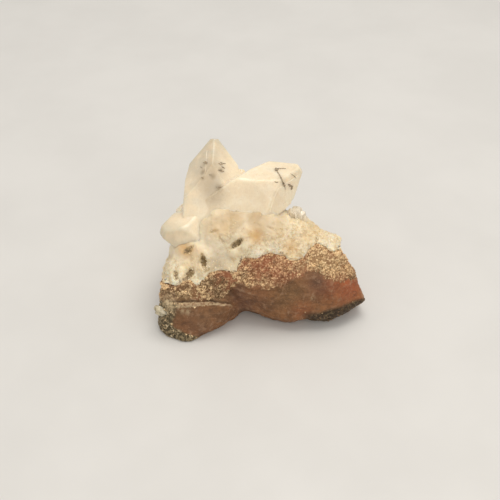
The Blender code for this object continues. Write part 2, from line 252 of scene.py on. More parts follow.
class ClusterColours(bpy.types.PropertyGroup):
    rock: bpy.props.FloatVectorProperty(
        name="Rock", description="Colour of the smooth broken rock", subtype="COLOR",
        default=(0.225, 0.100, 0.038),
    )
    red_rock: bpy.props.FloatVectorProperty(
        name="Red rock", description="Colour of the reddest rock", subtype="COLOR",
        default=(0.36, 0.100, 0.036),
    )
    crust: bpy.props.FloatVectorProperty(
        name="Crust", description="Colour of the crust", subtype="COLOR", default=(0.83, 0.67, 0.43)
    )
    yellow: bpy.props.FloatVectorProperty(
        name="Yellow patches", description="Colour of the warm patches of the crust", subtype="COLOR",
        default=(0.66, 0.42, 0.17),
    )
    crystal: bpy.props.FloatVectorProperty(
        name="Crystal", description="Colour of the milky crystals", subtype="COLOR",
        default=(0.86, 0.73, 0.53),
    )


class ClusterStage(bpy.types.PropertyGroup):
    lens: bpy.props.FloatProperty(
        name="Lens", description="Focal length in millimetres", default=60.0, subtype="DISTANCE_CAMERA"
    )
    distance: bpy.props.FloatProperty(
        name="Distance", description="From the camera to the cluster", default=0.26, subtype="DISTANCE"
    )
    elevation: bpy.props.FloatProperty(
        name="Elevation", description="How far the camera looks down", subtype="ANGLE",
        default=math.radians(40),
    )
    key_power: bpy.props.FloatProperty(
        name="Key light", description="Power of the main light", default=1.9, subtype="POWER"
    )
    room_light: bpy.props.FloatProperty(
        name="Room light", description="Strength of the light from all around", default=0.62
    )


def sizes():
    return bpy.context.scene.cluster_sizes


def colours():
    return bpy.context.scene.cluster_colours


# Meshes


def new_object(name, mesh):
    obj = bpy.data.objects.new(name, mesh)
    bpy.context.scene.collection.objects.link(obj)
    return obj


def made_from(bm, name):
    """Turns a finished bmesh into an object."""
    mesh = bpy.data.meshes.new(name)
    bm.to_mesh(mesh)
    bm.free()
    return new_object(name, mesh)


def applied(obj):
    """Replaces the object's mesh by what its modifiers make of it."""
    graph = bpy.context.evaluated_depsgraph_get()
    mesh = bpy.data.meshes.new_from_object(obj.evaluated_get(graph))
    obj.modifiers.clear()
    obj.data = mesh
    return obj


def points_of(mesh):
    """The mesh's points in millimetres."""
    flat = np.empty(len(mesh.vertices) * 3, np.float32)
    mesh.vertices.foreach_get("co", flat)
    return flat.reshape(-1, 3).astype(np.float64) / MM


def normals_of(mesh):
    flat = np.empty(len(mesh.vertices) * 3, np.float32)
    mesh.vertex_normals.foreach_get("vector", flat)
    return flat.reshape(-1, 3).astype(np.float64)


def set_points(mesh, points):
    mesh.vertices.foreach_set("co", (points * MM).astype(np.float32).ravel())
    mesh.update()


def store(mesh, name, values):
    """Keeps one number for each point, for the materials."""
    attribute = mesh.attributes.new(name, "FLOAT", "POINT")
    attribute.data.foreach_set("value", np.asarray(values, np.float32))


def clean_copy(node, name, swell=0.0):
    """A closed copy of a CAD node's mesh, swollen by some millimetres."""
    bm = bmesh.new()
    bm.from_mesh(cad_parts[node].data)
    bmesh.ops.remove_doubles(bm, verts=bm.verts, dist=1e-6)
    bm.normal_update()
    for vert in bm.verts:
        vert.co += vert.normal * swell * MM
    return made_from(bm, name)


def smoothed(obj, passes):
    smooth = obj.modifiers.new("smooth", "SMOOTH")
    smooth.factor = 0.5
    smooth.iterations = passes
    return applied(obj)


def even_mesh(obj, voxel, passes):
    """Gives the object an even mesh with its facets smoothed out."""
    remesh = obj.modifiers.new("even", "REMESH")
    remesh.mode = "VOXEL"
    remesh.voxel_size = voxel * MM
    smoothed(obj, passes)
    obj.data.shade_smooth()
    return obj


def surface_tree(obj):
    bm = bmesh.new()
    bm.from_mesh(obj.data)
    tree = BVHTree.FromBMesh(bm)
    bm.free()
    return tree


def distance_to(tree, points, reach):
    """Distance in millimetres from each point to a surface, up to some reach."""
    found = np.full(len(points), reach)
    for i, point in enumerate(points):
        hit = tree.find_nearest(Vector(point) * MM, reach * MM)
        if hit[0] is not None:
            found[i] = hit[3] / MM
    return found


def relief(obj, passes):
    """How far each point stands above the smoothed surface, in millimetres."""
    calm = smoothed(new_object("calm", obj.data.copy()), passes)
    height = ((points_of(obj.data) - points_of(calm.data)) * normals_of(calm.data)).sum(axis=1)
    bpy.data.objects.remove(calm)
    return height


def lumps(at, spacing):
    """Height of rounded lumps at a point, from 0 between them to 1 on their tops."""
    near = noise.voronoi(at / spacing)[0][0]
    return math.sqrt(max(0.0, 1 - (near / 0.75) ** 2))


def scoops(at, spacing):
    """Height of a surface broken into shallow scoops of about this size, with sharp ridges between."""
    bent = at / spacing + 0.3 * noise.noise_vector(at / spacing * 1.6)
    return min(noise.voronoi(bent)[0][0] ** 2, 0.6) * spacing


def wobbles(points, spacing):
    return np.array([noise.noise(Vector(point) / spacing) for point in points])


def grain_mesh(name, surface, weights, count, sizes_mm, point, tint, warm):
    """Small double pyramids let into a surface where the weights ask for them, tinted as the surface asks."""
    rng = np.random.default_rng(SEEDS[name])
    mesh = surface.data
    mesh.calc_loop_triangles()
    corners = np.empty(len(mesh.loop_triangles) * 3, np.int32)
    mesh.loop_triangles.foreach_get("vertices", corners)
    corners = corners.reshape(-1, 3)
    points, normals = points_of(mesh), normals_of(mesh)
    a, b, c = (points[corners[:, i]] for i in range(3))
    area = np.linalg.norm(np.cross(b - a, c - a), axis=1) / 2
    chance = area * weights[corners].mean(axis=1)
    picked = rng.choice(len(corners), size=count, p=chance / chance.sum())
    u, v = rng.random((2, count))
    turned = u + v > 1
    u[turned], v[turned] = 1 - u[turned], 1 - v[turned]
    places = a[picked] + u[:, None] * (b[picked] - a[picked]) + v[:, None] * (c[picked] - a[picked])
    axes = normals[corners[picked]].mean(axis=1) + rng.normal(0, 0.45, (count, 3))
    axes /= np.linalg.norm(axes, axis=1)[:, None]
    side = np.cross(axes, rng.normal(size=(count, 3)))
    side /= np.linalg.norm(side, axis=1)[:, None]
    other = np.cross(axes, side)
    low, high = sizes_mm
    size = low + (high - low) * rng.random(count) ** 2.4
    # A grain has a square girdle, a point above it and another one below, inside the surface.
    shape = np.array([(0.5, 0, 0), (0, 0.5, 0), (-0.5, 0, 0), (0, -0.5, 0), (0, 0, point), (0, 0, -0.45)])
    faces = [(i, (i + 1) % 4, 4) for i in range(4)] + [((i + 1) % 4, i, 5) for i in range(4)]
    local = size[:, None, None] * shape[None] * rng.uniform(0.65, 1.35, (count, 1, 3))
    local[:, 4, :2] += size[:, None] * rng.uniform(-0.35, 0.35, (count, 2))
    local[:, :4, 2] += size[:, None] * rng.uniform(-0.12, 0.25, (count, 4))
    grains = (
        places[:, None]
        + local[..., :1] * side[:, None]
        + local[..., 1:2] * other[:, None]
        + local[..., 2:] * axes[:, None]
    )
    step = len(shape)
    all_faces = [tuple(i + n * step for i in face) for n in range(count) for face in faces]
    made = bpy.data.meshes.new(name)
    made.from_pydata((grains.reshape(-1, 3) * MM).tolist(), [], all_faces)
    made.update()
    tints = np.clip(tint[corners[picked]].mean(axis=1) + rng.normal(0, 0.15, count), 0, 1)
    store(made, "tint", np.repeat(tints, step))
    store(made, "warm", np.repeat(warm[corners[picked]].mean(axis=1), step))
    return new_object(name, made)


# Materials


class Shader:
    """Builds a material from short calls: noise, ramps and mixes that end in one Principled shader."""

    def __init__(self, name):
        self.material = bpy.data.materials.new(name)
        self.material.use_nodes = True
        self.nodes = self.material.node_tree.nodes
        self.links = self.material.node_tree.links
        self.shader = self.nodes["Principled BSDF"]
        self.place = self.nodes.new("ShaderNodeTexCoord").outputs["Object"]
        self.colour = None

    def set(self, socket, value):
        if hasattr(value, "is_linked"):
            self.links.new(value, self.shader.inputs[socket])
        else:
            self.shader.inputs[socket].default_value = value

    def stretched(self, rotation, scale):
        """The place, turned and stretched, for striations."""
        mapping = self.nodes.new("ShaderNodeMapping")
        mapping.inputs["Rotation"].default_value = rotation
        mapping.inputs["Scale"].default_value = scale
        self.links.new(self.place, mapping.inputs["Vector"])
        return mapping.outputs["Vector"]

    def noise(self, size_mm, detail=3.0, roughness=0.55, place=None, distortion=0.0):
        """Noise whose features are about this large."""
        node = self.nodes.new("ShaderNodeTexNoise")
        node.inputs["Scale"].default_value = 1 / (size_mm * MM)
        node.inputs["Detail"].default_value = detail
        node.inputs["Roughness"].default_value = roughness
        node.inputs["Distortion"].default_value = distortion
        self.links.new(place or self.place, node.inputs["Vector"])
        return node.outputs["Fac"]

    def cells(self, size_mm, feature="F1"):
        node = self.nodes.new("ShaderNodeTexVoronoi")
        node.feature = feature
        node.inputs["Scale"].default_value = 1 / (size_mm * MM)
        self.links.new(self.place, node.inputs["Vector"])
        return node.outputs["Distance"]

    def stored(self, name):
        node = self.nodes.new("ShaderNodeAttribute")
        node.attribute_name = name
        return node.outputs["Fac"]

    def ramp(self, value, low, high, to_low=0.0, to_high=1.0):
        node = self.nodes.new("ShaderNodeMapRange")
        node.interpolation_type = "SMOOTHSTEP"
        for socket, number in zip(("From Min", "From Max", "To Min", "To Max"), (low, high, to_low, to_high)):
            node.inputs[socket].default_value = number
        self.links.new(value, node.inputs["Value"])
        return node.outputs["Result"]

    def math(self, operation, *values):
        node = self.nodes.new("ShaderNodeMath")
        node.operation = operation
        for socket, value in zip(node.inputs, values):
            if hasattr(value, "is_linked"):
                self.links.new(value, socket)
            else:
                socket.default_value = value
        return node.outputs[0]

    def times(self, first, second):
        return self.math("MULTIPLY", first, second)

    def plus(self, first, second):
        return self.math("ADD", first, second)

    def mix(self, share, first, second):
        """A colour between two colours."""
        node = self.nodes.new("ShaderNodeMix")
        node.data_type = "RGBA"
        for socket, value in zip((node.inputs[0], node.inputs[6], node.inputs[7]), (share, first, second)):
            if hasattr(value, "is_linked"):
                self.links.new(value, socket)
            elif socket.type == "RGBA":
                socket.default_value = (*value, 1)
            else:
                socket.default_value = value
        return node.outputs[2]

    def layer(self, share, colour):
        """Lays a colour over the ones so far, by some share."""
        self.colour = self.mix(share, self.colour, colour)

    def away_from(self, point):
        """Distance in millimetres from a point of the face frame."""
        node = self.nodes.new("ShaderNodeVectorMath")
        node.operation = "DISTANCE"
        node.inputs[1].default_value = face_point(*point) * MM
        self.links.new(self.place, node.inputs[0])
        return self.math("DIVIDE", node.outputs["Value"], MM)

    def near(self, point, radius, strength=1.0):
        """Strength at a point of the face frame, falling softly to nothing at the radius."""
        return self.ramp(self.away_from(point), 0.0, radius, strength, 0.0)

    def bump(self, height, depth_mm, strength=1.0):
        node = self.nodes.new("ShaderNodeBump")
        node.inputs["Strength"].default_value = strength
        node.inputs["Distance"].default_value = depth_mm * MM
        self.links.new(height, node.inputs["Height"])
        self.links.new(node.outputs["Normal"], self.shader.inputs["Normal"])


def rock_finish():
    """Brown fracture faces, redder to the right, with a green-grey rim, a pale vein and drusy parts."""
    m = Shader("broken_brown_rock")
    rock, red = tuple(colours().rock), tuple(colours().red_rock)
    dark_rock, light_rock = (tuple(factor * c for c in rock) for factor in (0.72, 1.25))
    m.colour = m.mix(m.ramp(m.noise(4.0, detail=6, roughness=0.6), 0.38, 0.62), dark_rock, light_rock)
    m.layer(m.stored("red"), red)
    m.layer(m.times(m.stored("wedge"), 0.9), (0.145, 0.070, 0.045))
    m.layer(m.times(m.stored("olive"), 0.8), (0.165, 0.105, 0.046))
    streaks = m.noise(1.0, detail=5, roughness=0.65, place=m.stretched((0, 0.12, 0), (0.22, 1.0, 1.0)))
    m.layer(m.ramp(streaks, 0.50, 0.68, 0.0, 0.45), (0.085, 0.042, 0.021))
    m.layer(m.ramp(streaks, 0.32, 0.48, 0.40, 0.0), (0.33, 0.185, 0.095))
    specks = m.ramp(m.noise(0.45, detail=4, roughness=0.7), 0.56, 0.70)
    m.layer(m.times(specks, 0.55), (0.46, 0.29, 0.165))
    dark = m.ramp(m.noise(1.1, detail=5, roughness=0.7, distortion=0.8), 0.54, 0.70)
    m.layer(m.times(dark, 0.55), (0.070, 0.034, 0.018))
    # Lighter on the broad ridges and edges: partly wear, partly painted highlight.
    wear_and_edge_highlight = m.plus(m.stored("wear_and_edge_highlight"), m.ramp(m.noise(1.4, detail=5), 0.3, 0.7, -0.2, 0.2))
    m.layer(m.ramp(wear_and_edge_highlight, 0.10, 0.40, 0.0, 0.5), (0.38, 0.23, 0.135))
    # Painted highlight on the small ridges and painted shade in the small hollows.
    m.layer(m.ramp(m.stored("relief"), 0.04, 0.16, 0.0, 0.5), (0.40, 0.28, 0.18))
    m.layer(m.ramp(m.stored("relief"), -0.20, -0.03, 0.65, 0.0), (0.055, 0.028, 0.016))
    # The rough rim's own green-grey, darkened by painted shade in its hollows.
    uneven = m.ramp(m.noise(0.6, detail=4), 0.35, 0.65, -0.15, 0.15)
    rim_tops = m.ramp(m.plus(m.stored("relief"), uneven), -0.08, 0.16)
    rough_rim = m.mix(rim_tops, (0.076, 0.056, 0.028), (0.27, 0.205, 0.11))
    rough_rim = m.mix(m.ramp(m.noise(1.2, detail=4), 0.56, 0.66), rough_rim, (0.66, 0.55, 0.36))
    m.layer(m.stored("rim"), rough_rim)
    # The druse is darker in the crevices between its grains, which is painted shade, and keeps its own tan on
    # the tops.
    uneven = m.ramp(m.noise(0.6, detail=3), 0.3, 0.7, -0.18, 0.18)
    tops = m.ramp(m.plus(m.stored("relief"), uneven), -0.04, 0.22)
    patchy = m.ramp(m.noise(1.3, detail=4, distortion=0.6), 0.42, 0.62)
    tops = m.times(tops, m.ramp(patchy, 0, 1, 0.25, 1.0))
    drusy = m.mix(tops, (0.31, 0.112, 0.050), (0.72, 0.42, 0.23))
    olive_drusy = m.mix(tops, (0.150, 0.096, 0.043), (0.68, 0.48, 0.27))
    tan_drusy = m.mix(tops, (0.34, 0.20, 0.09), (0.92, 0.68, 0.40))
    drusy = m.mix(m.stored("olive"), drusy, olive_drusy)
    drusy = m.mix(m.stored("tan"), drusy, tan_drusy)
    m.layer(m.stored("druse"), drusy)
    broken = m.ramp(m.noise(0.7, detail=4), 0.34, 0.52)
    m.layer(m.times(m.stored("vein"), broken), (0.55, 0.42, 0.255))
    # The underside strip at the lower right and the groove above the vein: painted shade, partly the rock's
    # own darker olive-brown.
    lighter = m.ramp(m.noise(0.9, detail=5, roughness=0.7), 0.48, 0.68)
    shade = m.mix(lighter, (0.030, 0.019, 0.009), (0.17, 0.125, 0.065))
    m.layer(m.times(m.stored("under"), 0.95), shade)
    m.set("Base Color", m.colour)
    m.set("Roughness", m.ramp(m.noise(0.8, detail=4), 0.3, 0.7, 0.42, 0.75))
    m.set("Specular IOR Level", 0.3)
    height = m.plus(m.noise(0.4, detail=5, roughness=0.7), m.times(m.noise(1.6, detail=4), 1.2))
    m.bump(height, 0.16, 1.0)
    return m.material


def crust_finish():
    """Cream druse with warm patches, stains in the pits and a fine glitter."""
    m = Shader("cream_druse")
    cream, yellow = tuple(colours().crust), tuple(colours().yellow)
    pale = (0.93, 0.85, 0.66)
    m.colour = m.mix(m.ramp(m.noise(2.6, detail=5, distortion=0.4), 0.38, 0.66), cream, (0.86, 0.72, 0.47))
    m.layer(m.stored("pale"), pale)
    m.layer(m.stored("grey"), (0.57, 0.47, 0.32))
    # Painted shade in the hollows and painted highlight on the bumps.
    m.layer(m.ramp(m.stored("relief"), -0.20, -0.03, 0.40, 0.0), (0.60, 0.42, 0.21))
    m.layer(m.ramp(m.stored("relief"), 0.04, 0.18, 0.0, 0.6), (0.95, 0.86, 0.67))
    m.layer(m.times(m.stored("foot"), 0.85), (0.87, 0.76, 0.57))
    m.layer(m.times(m.stored("arch"), 0.85), (0.535, 0.385, 0.21))
    m.layer(m.stored("yellow"), yellow)
    m.layer(m.stored("orange"), (0.60, 0.36, 0.14))
    blotches = m.ramp(m.noise(1.7, detail=5, roughness=0.65, distortion=0.6), 0.52, 0.68, 0.0, 0.4)
    rough = m.ramp(m.stored("quiet"), 0.2, 0.9, 1.0, 0.3)
    m.layer(m.times(blotches, rough), (0.70, 0.52, 0.28))
    m.layer(m.ramp(m.stored("pit"), 0.04, 0.30, 0.0, 0.6), (0.52, 0.36, 0.17))
    freckles = m.ramp(m.noise(0.9, detail=5, roughness=0.7), 0.58, 0.72)
    m.layer(m.times(m.times(freckles, rough), 0.4), (0.58, 0.42, 0.22))
    uneven = m.ramp(m.noise(0.6, detail=4), 0.3, 0.7, -0.35, 0.35)
    stain = m.ramp(m.plus(m.stored("pit"), uneven), 0.25, 0.9)
    stain_colour = m.mix(m.ramp(m.noise(1.2, detail=3), 0.4, 0.6), (0.31, 0.215, 0.095), (0.19, 0.125, 0.055))
    m.layer(m.times(stain, m.ramp(m.stored("pit"), 0.05, 0.3)), stain_colour)
    patchy = m.ramp(m.noise(0.7, detail=4), 0.40, 0.56)
    m.layer(m.times(m.stored("brown"), patchy), (0.24, 0.125, 0.065))
    m.set("Base Color", m.colour)
    m.set("Roughness", m.ramp(m.noise(0.6, detail=4), 0.3, 0.7, 0.35, 0.60))
    m.set("Subsurface Weight", 0.7)
    m.set("Subsurface Radius", (1.0, 0.8, 0.5))
    m.set("Subsurface Scale", 0.0015)
    height = m.plus(m.noise(0.35, detail=4, roughness=0.6), m.times(m.cells(0.5), 0.6))
    m.bump(height, 0.06, 0.6)
    return m.material


def grain_finish(name, dark, light, warm_dark, warm_light):
    """Small glassy grains, each with its own tint, warmer in some places."""
    m = Shader(name)
    cool = m.mix(m.ramp(m.stored("tint"), 0.1, 0.9), dark, light)
    warm = m.mix(m.ramp(m.stored("tint"), 0.1, 0.9), warm_dark, warm_light)
    m.colour = m.mix(m.stored("warm"), cool, warm)
    m.layer(m.ramp(m.noise(2.5, detail=3), 0.4, 0.7, 0, 0.25), tuple(0.7 * c for c in dark))
    m.set("Base Color", m.colour)
    m.set("Roughness", m.ramp(m.noise(0.6, detail=2), 0.3, 0.7, 0.22, 0.42))
    m.set("Specular IOR Level", 0.3)
    m.set("IOR", REFRACTIVE_INDEX)
    return m.material


# Dark marks and painted shade inside the large crystals: place, radius and strength.
DARK_MARKS_AND_SHADE = (
    ((-14.1, 23.3, 11.0), 1.6, 0.85), ((-11.1, 21.9, 12.0), 1.4, 0.7), ((-9.4, 18.6, 12.6), 2.0, 0.85),
    ((-9.9, 16.6, 12.8), 5.5, 0.4), ((-14.0, 21.2, 11.5), 1.3, 0.6), ((7.6, 16.6, 14.0), 1.6, 0.3),
    ((-8.6, 24.0, 10.4), 1.5, 0.5), ((-11.6, 23.0, 11.0), 7.5, 0.55), ((-11.5, 14.5, 12.0), 5.0, 0.25),
    ((-12.8, 18.5, 12.0), 5.5, 0.4), ((4.0, 17.0, 13.0), 8.0, 0.14), ((9.3, 21.0, 13.0), 2.2, 0.35),
    ((-13.6, 25.8, 9.8), 1.3, 0.4),
)


def milky_finish(name, clearness, near_clear, far_clear):
    """Apophyllite: clear towards the tips, with milk and veils towards the root."""
    m = Shader(name)
    milk = tuple(colours().crystal)
    clouds = m.noise(5.0, detail=4, roughness=0.5, distortion=0.4)
    depth = m.plus(m.away_from((1.0, 8.0, 4.0)), m.ramp(clouds, 0.3, 0.7, -3.0, 3.0))
    clear = m.ramp(depth, near_clear, far_clear, 0.0, clearness)
    m.colour = m.mix(m.ramp(clouds, 0.4, 0.65), milk, (0.90, 0.79, 0.60))
    veil = m.ramp(m.noise(1.5, detail=5, roughness=0.6, distortion=1.0), 0.45, 0.68, 0.0, 0.4)
    m.layer(veil, (0.94, 0.86, 0.70))
    threads = m.noise(0.5, detail=4, roughness=0.6, place=m.stretched((0.7, 0.0, 0.0), (1.0, 1.0, 0.25)))
    m.layer(m.ramp(threads, 0.45, 0.70, 0.0, 0.25), (0.70, 0.58, 0.42))
    dusk = m.ramp(m.noise(3.0, detail=3), 0.54, 0.75, 0.0, 0.3)
    m.layer(dusk, (0.72, 0.58, 0.39))
    # The small spots are dark marks in the crystal; the large soft ones are painted shade in its depth.
    for place, radius, strength in DARK_MARKS_AND_SHADE:
        m.layer(m.near(place, radius, strength), (0.40, 0.31, 0.20))
    # Painted light: the leftmost crystal is made paler and brighter here.
    m.layer(m.near((-24.0, 5.0, 12.0), 10.0, 0.45), (0.96, 0.84, 0.63))
    m.set("Base Color", m.colour)
    dull = m.ramp(depth, 9, 20, 0.26, 0.0)
    m.set("Roughness", m.plus(m.ramp(m.noise(1.2, detail=4), 0.35, 0.7, 0.10, 0.24), dull))
    m.set("Transmission Weight", clear)
    m.set("IOR", REFRACTIVE_INDEX)
    m.set("Subsurface Weight", 0.8)
    m.set("Subsurface Radius", (1.0, 0.92, 0.80))
    m.set("Subsurface Scale", 0.0022)
    m.set("Coat Weight", 0.12)
    m.set("Coat Roughness", 0.10)
    m.bump(m.noise(0.8, detail=3), 0.03, 0.4)
    return m.material


def clear_finish(name, light, dark):
    """Water-clear little crystals with dark inner stripes along them."""
    m = Shader(name)
    stripes = m.noise(0.5, detail=2, place=m.stretched((0, 0, 0), (1.0, 0.12, 0.12)))
    m.colour = m.mix(m.ramp(stripes, 0.50, 0.72), light, dark)
    m.layer(m.ramp(m.noise(1.6), 0.42, 0.60), light)
    m.set("Base Color", m.colour)
    m.set("Roughness", m.ramp(m.noise(0.7), 0.3, 0.7, 0.04, 0.14))
    m.set("Transmission Weight", m.ramp(m.noise(1.0, detail=3), 0.35, 0.65, 0.05, 0.30))
    m.set("IOR", REFRACTIVE_INDEX)
    m.set("Coat Weight", 0.25)
    return m.material


def crack_finish():
    """Dark cleavage cracks where they reach a face."""
    m = Shader("cleavage_shadow")
    shade = m.ramp(m.noise(0.5, detail=3), 0.35, 0.65)
    m.set("Base Color", m.mix(shade, (0.20, 0.15, 0.09), (0.44, 0.34, 0.22)))
    m.set("Roughness", m.ramp(m.noise(0.4), 0.3, 0.7, 0.25, 0.5))
    return m.material


def floor_finish():
    m = Shader("pale_floor")
    m.set("Base Color", m.mix(m.ramp(m.noise(40.0), 0.3, 0.7), (0.66, 0.65, 0.63), (0.69, 0.68, 0.66)))
    m.set("Roughness", m.ramp(m.noise(8.0), 0.3, 0.7, 0.5, 0.6))
    return m.material


def give(obj, material, slot, *nodes):
    """Paints a piece, hangs it on the root body and lets it stand for CAD nodes; its slot is not used."""
    obj.data.materials.clear()
    obj.data.materials.append(material)
    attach(obj, "root")
    if nodes:
        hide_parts(*nodes)


# Crystals


class Crystal(NamedTuple):
    """A tetragonal crystal, as in the solids, and how many smaller crystals stand out of its faces."""

    tip: tuple
    axis: tuple
    shoulder: float
    prism: float
    cap: float
    length: float
    turn: float
    growths: int
    edge: float = HAIRLINE


INTERGROWN = (
    Crystal((-10.9, 34.0, 5.0), (0.028, 0.996, 0.087), 7.4, 8.3, 0.9, 28, 0, 4, 0.2),
    Crystal((15.2, 24.9, 8.0), (0.841, 0.541, 0.16), 6.8, 7.9, 1.15, 31, 3, 2, 0.6),
    Crystal((-17.8, 16.6, 5.4), (-0.04, 0.99, 0.1), 4.7, 5.1, 0.2, 13, 8, 2, 0.35),
    Crystal((-14.6, 15.4, 9.2), (-0.3, 0.92, 0.25), 3.8, 4.1, 0.6, 13, 28, 1, 0.3),
    Crystal((-2.6, 24.8, 4.2), (0.05, 0.99, 0.1), 1.6, 1.8, 0.5, 12, 5, 0, 0.1),
    Crystal((-26.3, 5.4, 11.6), (-0.84, -0.05, 0.54), 5.5, 6.0, 1.5, 18, 6, 0, 0.8),
    Crystal((-21.8, 10.6, 8.6), (-0.3, 0.9, 0.3), 2.2, 2.6, 0.4, 9, 30, 1, 0.12),
)
CLEAR_SPRAYS = (
    Crystal((14.2, 13.3, 6.4), (0.1, 0.97, 0.2), 1.15, 1.25, 0.75, 5.6, 10, 1),
    Crystal((16.3, 11.9, 6.0), (0.3, 0.93, 0.2), 1.0, 1.1, 0.6, 5.2, 35, 1),
    Crystal((12.6, 12.6, 7.4), (-0.05, 0.95, 0.3), 0.9, 1.0, 0.5, 5.0, 60, 0),
    Crystal((15.4, 13.0, 5.4), (0.22, 0.95, 0.1), 0.65, 0.75, 0.4, 4.6, 20, 0),
    Crystal((13.4, 11.4, 8.2), (-0.15, 0.86, 0.45), 0.5, 0.6, 0.3, 4.0, 40, 0),
    Crystal((17.2, 10.2, 6.2), (0.45, 0.85, 0.3), 0.55, 0.65, 0.35, 4.2, 10, 0),
    Crystal((15.2, 10.8, 7.8), (0.15, 0.8, 0.55), 0.6, 0.7, 0.3, 3.8, 0, 0),
)
RIM_SPRAYS = (
    Crystal((-28.8, -17.2, 9.0), (-0.85, 0.4, 0.3), 0.8, 0.9, 0.4, 4.2, 15, 0),
    Crystal((-28.6, -19.0, 8.4), (-0.9, -0.1, 0.3), 0.9, 1.0, 0.3, 4.0, 50, 0),
    Crystal((-28.4, -18.0, 9.6), (-0.7, 0.1, 0.7), 0.5, 0.6, 0.3, 3.2, 30, 0),
)
# Balls of crust that close round the foot of the back pair and of the left crystal: their middle and radius.
COLLARS = (
    ((6.4, 9.6, -9.4), 4.0), ((3.8, 8.0, -11.0), 3.4),
    ((-21.4, -0.3, 8.0), 2.3), ((-19.6, -0.5, 8.7), 3.0), ((-17.0, 0.2, 9.0), 3.2),
)
BACK_PAIR = (
    Crystal((8.0, 13.5, -14.0), (0.3, 0.6, -0.74), 3.0, 3.3, 0.7, 10, 40, 3),
    Crystal((3.0, 10.5, -15.6), (-0.2, 0.5, -0.84), 2.2, 2.4, 0.4, 8, 10, 2),
)


def cut_by_plane(bm, point, normal):
    """Cuts a convex body by a plane, keeps the side behind the normal and closes it."""
    geometry = bm.verts[:] + bm.edges[:] + bm.faces[:]
    bmesh.ops.bisect_plane(bm, geom=geometry, plane_co=point, plane_no=normal, clear_outer=True, dist=1e-5)
    rim = [edge for edge in bm.edges if edge.is_boundary]
    if rim:
        bmesh.ops.edgeloop_fill(bm, edges=rim)


def crystal_stand(crystal):
    """The matrix that turns a crystal upright along its axis and sets it on its tip."""
    axis = face_vector(*crystal.axis).normalized()
    facing = face_vector(0, 0, 1)
    facing = (facing - axis * facing.dot(axis)).normalized()
    stand = Matrix((facing, axis.cross(facing), axis)).transposed()
    turn = Matrix.Rotation(math.radians(crystal.turn + 45), 3, "Z")
    return Matrix.Translation(face_point(*crystal.tip)) @ (stand @ turn).to_4x4()


def crystal_body(crystal, offset=(0, 0, 0)):
    """Cuts a crystal from a cube: four pyramid faces, four tapering sides and the prism."""
    bm = bmesh.new()
    bmesh.ops.create_cube(bm, size=4 * (crystal.length + crystal.prism))
    cut_by_plane(bm, (0, 0, 0), (0, 0, 1))
    cut_by_plane(bm, (0, 0, -crystal.length), (0, 0, -1))
    shoulder_depth = (crystal.shoulder - crystal.cap * math.sqrt(2)) / math.tan(PYRAMID_EDGE_SLOPE)
    for quarter in range(4):
        angle = quarter * math.pi / 2
        side = Vector((math.cos(angle), math.sin(angle), 0))
        corner = Vector((math.cos(angle + math.pi / 4), math.sin(angle + math.pi / 4), 0))
        pyramid = side * math.cos(PYRAMID_FACE_SLOPE) + Vector((0, 0, math.sin(PYRAMID_FACE_SLOPE)))
        taper = corner * math.cos(SIDE_TAPER) + Vector((0, 0, math.sin(SIDE_TAPER)))
        cut_by_plane(bm, side * crystal.cap, pyramid)
        cut_by_plane(bm, corner * crystal.shoulder - Vector((0, 0, shoulder_depth)), taper)
        cut_by_plane(bm, corner * crystal.prism, corner)
    bmesh.ops.dissolve_limit(bm, angle_limit=math.radians(0.5), verts=bm.verts, edges=bm.edges)
    bmesh.ops.bevel(
        bm, geom=bm.edges[:], offset=crystal.edge, segments=1 if crystal.edge < 0.2 else 4, affect="EDGES",
        clamp_overlap=True, profile=0.5,
    )
    bmesh.ops.translate(bm, verts=bm.verts, vec=offset)
    bm.transform(crystal_stand(crystal))
    bm.transform(Matrix.Scale(MM, 4))
    bmesh.ops.recalc_face_normals(bm, faces=bm.faces)
    return made_from(bm, "crystal")


def growths_on(crystal, rng):
    """Smaller crystals, parallel to this one, that stand a little out of its faces."""
    for _ in range(crystal.growths):
        quarter = rng.integers(4)
        angle = quarter * math.pi / 2
        away = crystal.shoulder * rng.uniform(0.2, 0.62)
        along = away * rng.uniform(-0.7, 0.7)
        proud = rng.uniform(0.08, 0.22)
        side = np.array((math.cos(angle), math.sin(angle)))
        place = side * away + np.array((-side[1], side[0])) * along
        raised = proud / math.sin(PYRAMID_FACE_SLOPE)
        depth = (away - crystal.cap * 0.6) / math.tan(PYRAMID_FACE_SLOPE) - raised
        lateral = (away + abs(along)) / math.sqrt(2)
        prism = crystal.prism - lateral + rng.uniform(0.04, 0.14)
        if prism < 1.2 or depth < 0:
            continue
        small = crystal._replace(
            shoulder=prism - 0.5, prism=prism, cap=crystal.cap * 0.4, length=crystal.length - depth - 0.5,
            edge=HAIRLINE,
        )
        yield crystal_body(small, (*place, -depth))


def ball(centre, radius):
    """A closed ball, in millimetres of the face frame."""
    bm = bmesh.new()
    bmesh.ops.create_icosphere(bm, subdivisions=3, radius=radius * MM)
    bmesh.ops.translate(bm, verts=bm.verts, vec=face_point(*centre) * MM)
    return made_from(bm, "ball")


def is_closed(obj):
    bm = bmesh.new()
    bm.from_mesh(obj.data)
    closed = all(edge.is_manifold for edge in bm.edges)
    bm.free()
    return closed


def fuse(main, others):
    """Joins closed bodies into one closed body."""
    for other in others:
        if not is_closed(other):
            raise RuntimeError(f"{other.name} isn't closed")
        modifier = main.modifiers.new("join", "BOOLEAN")
        modifier.operation = "UNION"
        modifier.solver = "MANIFOLD"
        modifier.object = other
        applied(main)
        bpy.data.objects.remove(other)
    return main


